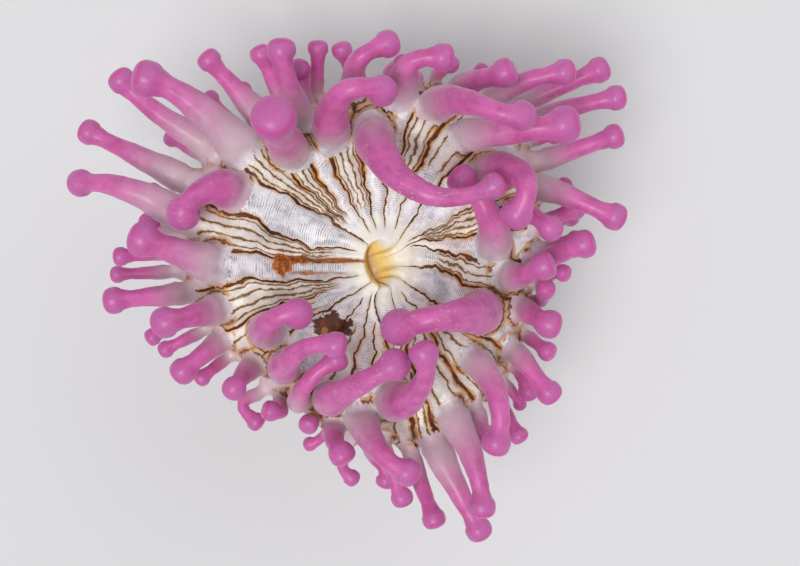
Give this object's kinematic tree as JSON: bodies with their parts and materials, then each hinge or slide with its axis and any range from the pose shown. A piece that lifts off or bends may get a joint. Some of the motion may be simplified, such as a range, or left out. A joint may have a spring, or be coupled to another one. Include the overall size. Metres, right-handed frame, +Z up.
{
  "type": "sea anemone",
  "caption": "Still model of a sea anemone on its foot: a column, a flat disc round a mouth, and a crown of club-tipped tentacles.",
  "frame": {"origin": "middle of the underside of the foot", "axes": "+Z up along the column; +Y towards the top of the crown as seen from above in its usual view; +X to the right of that view"},
  "size_m": [0.1493, 0.1354, 0.1159],
  "materials": {
    "pink_flesh": "wet gloss",
    "disc_flesh": "wet gloss",
    "lip_flesh": "wet gloss",
    "pale_flesh": "wet satin",
    "bark": "rough",
    "foot_flesh": "wet satin"
  },
  "bodies": {
    "root": {"lips": "lip_flesh", "margin_01": "pink_flesh", "margin_02": "pink_flesh", "margin_03": "pink_flesh", "margin_04": "pink_flesh", "margin_05": "pink_flesh", "margin_06": "pink_flesh", "margin_07": "pink_flesh", "margin_08": "pink_flesh", "margin_09": "pink_flesh", "margin_10": "pink_flesh", "margin_11": "pink_flesh", "margin_12": "pink_flesh", "margin_13": "pink_flesh", "margin_14": "pink_flesh", "margin_15": "pink_flesh", "oral_disc": "disc_flesh", "pedal_disc": "foot_flesh", "scapulus": "pale_flesh", "scapus": "bark", "tentacle_01": "pink_flesh", "tentacle_02_club": "pink_flesh", "tentacle_02_shaft": "pink_flesh", "tentacle_03_club": "pink_flesh", "tentacle_03_shaft": "pink_flesh", "tentacle_04_bend": "pink_flesh", "tentacle_04_club": "pink_flesh", "tentacle_04_shaft": "pink_flesh", "tentacle_05_club": "pink_flesh", "tentacle_05_shaft": "pink_flesh", "tentacle_06_club": "pink_flesh", "tentacle_06_shaft": "pink_flesh", "tentacle_07_club": "pink_flesh", "tentacle_07_shaft": "pink_flesh", "tentacle_08": "pink_flesh", "tentacle_09_club": "pink_flesh", "tentacle_09_shaft": "pink_flesh", "tentacle_10_club": "pink_flesh", "tentacle_10_shaft": "pink_flesh", "tentacle_11": "pink_flesh", "tentacle_12_club": "pink_flesh", "tentacle_12_shaft": "pink_flesh", "tentacle_13": "pink_flesh", "tentacle_14_club": "pink_flesh", "tentacle_14_shaft": "pink_flesh", "tentacle_15": "pink_flesh", "tentacle_16": "pink_flesh", "tentacle_17": "pink_flesh", "tentacle_18": "pink_flesh", "tentacle_19": "pink_flesh", "tentacle_20_club": "pink_flesh", "tentacle_20_shaft": "pink_flesh", "tentacle_21_club": "pink_flesh", "tentacle_21_shaft": "pink_flesh", "tentacle_22": "pink_flesh", "tentacle_23": "pink_flesh", "tentacle_24": "pink_flesh"}
  },
  "joints": []
}
